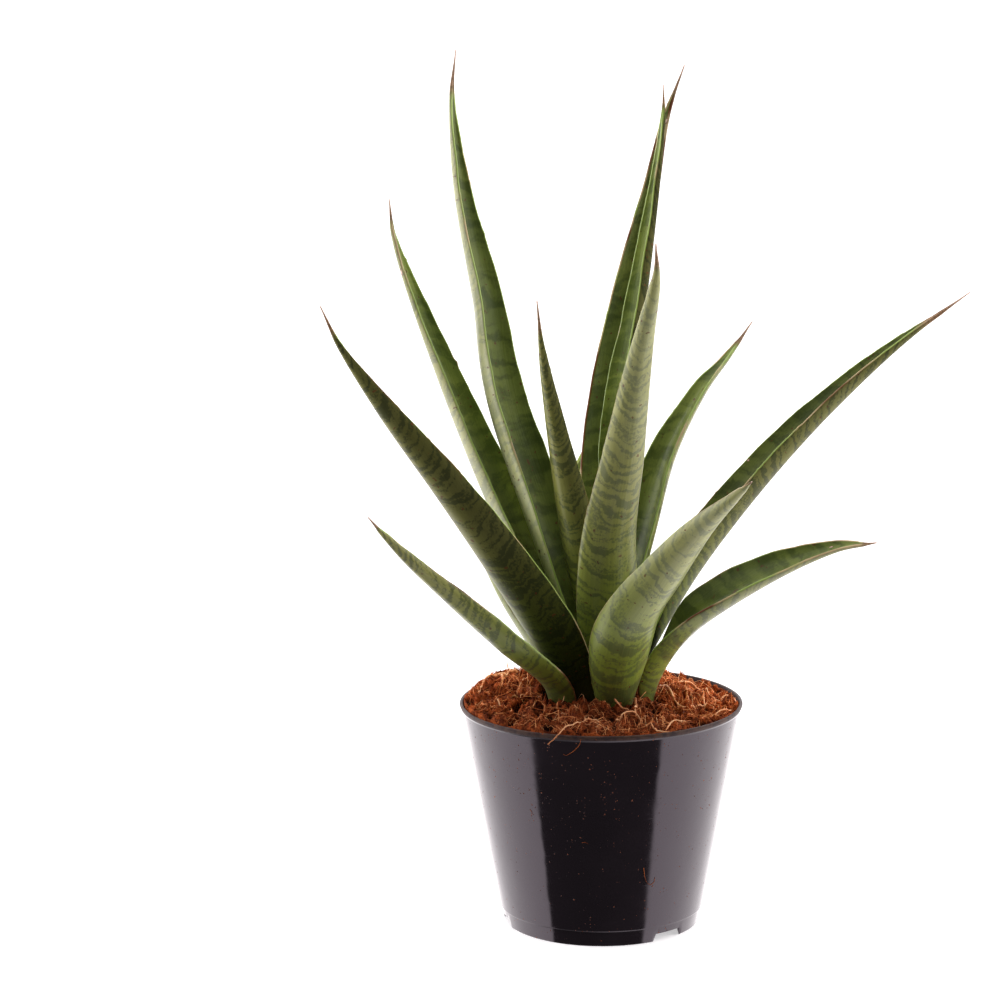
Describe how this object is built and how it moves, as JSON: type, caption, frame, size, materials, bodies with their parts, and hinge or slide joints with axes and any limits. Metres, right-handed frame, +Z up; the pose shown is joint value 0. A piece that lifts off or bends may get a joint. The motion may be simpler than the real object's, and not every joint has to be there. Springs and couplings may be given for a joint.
{
  "type": "potted pineapple snake plant",
  "caption": "Rosette of upright, arching, channelled snake plant leaves with dark cross bands, growing in coir soil in a tapered black plastic nursery pot.",
  "frame": {"origin": "centre of the flat foot in the middle of the pot's underside, on the surface the pot stands on", "axes": "+Z up along the pot's axis, -Y towards the front of the plant as pictured, +X to the viewer's right"},
  "size_m": [0.2669, 0.1529, 0.369],
  "materials": {
    "pot_plastic": "gloss",
    "coir_soil": "matte",
    "rhizome": "matte",
    "leaf_green": "satin"
  },
  "bodies": {
    "root": {"pot": "pot_plastic", "soil": "coir_soil", "crown_and_roots": "rhizome", "leaf_left_low": "leaf_green", "leaf_left_front": "leaf_green", "leaf_left_upper": "leaf_green", "leaf_left_behind": "leaf_green", "leaf_tall_left": "leaf_green", "leaf_centre_short": "leaf_green", "leaf_tall_back": "leaf_green", "leaf_tall_right": "leaf_green", "leaf_front_centre": "leaf_green", "leaf_right_short": "leaf_green", "leaf_right_arching": "leaf_green", "leaf_right_low": "leaf_green", "leaf_front_right": "leaf_green", "leaf_back_low": "leaf_green"}
  },
  "joints": []
}
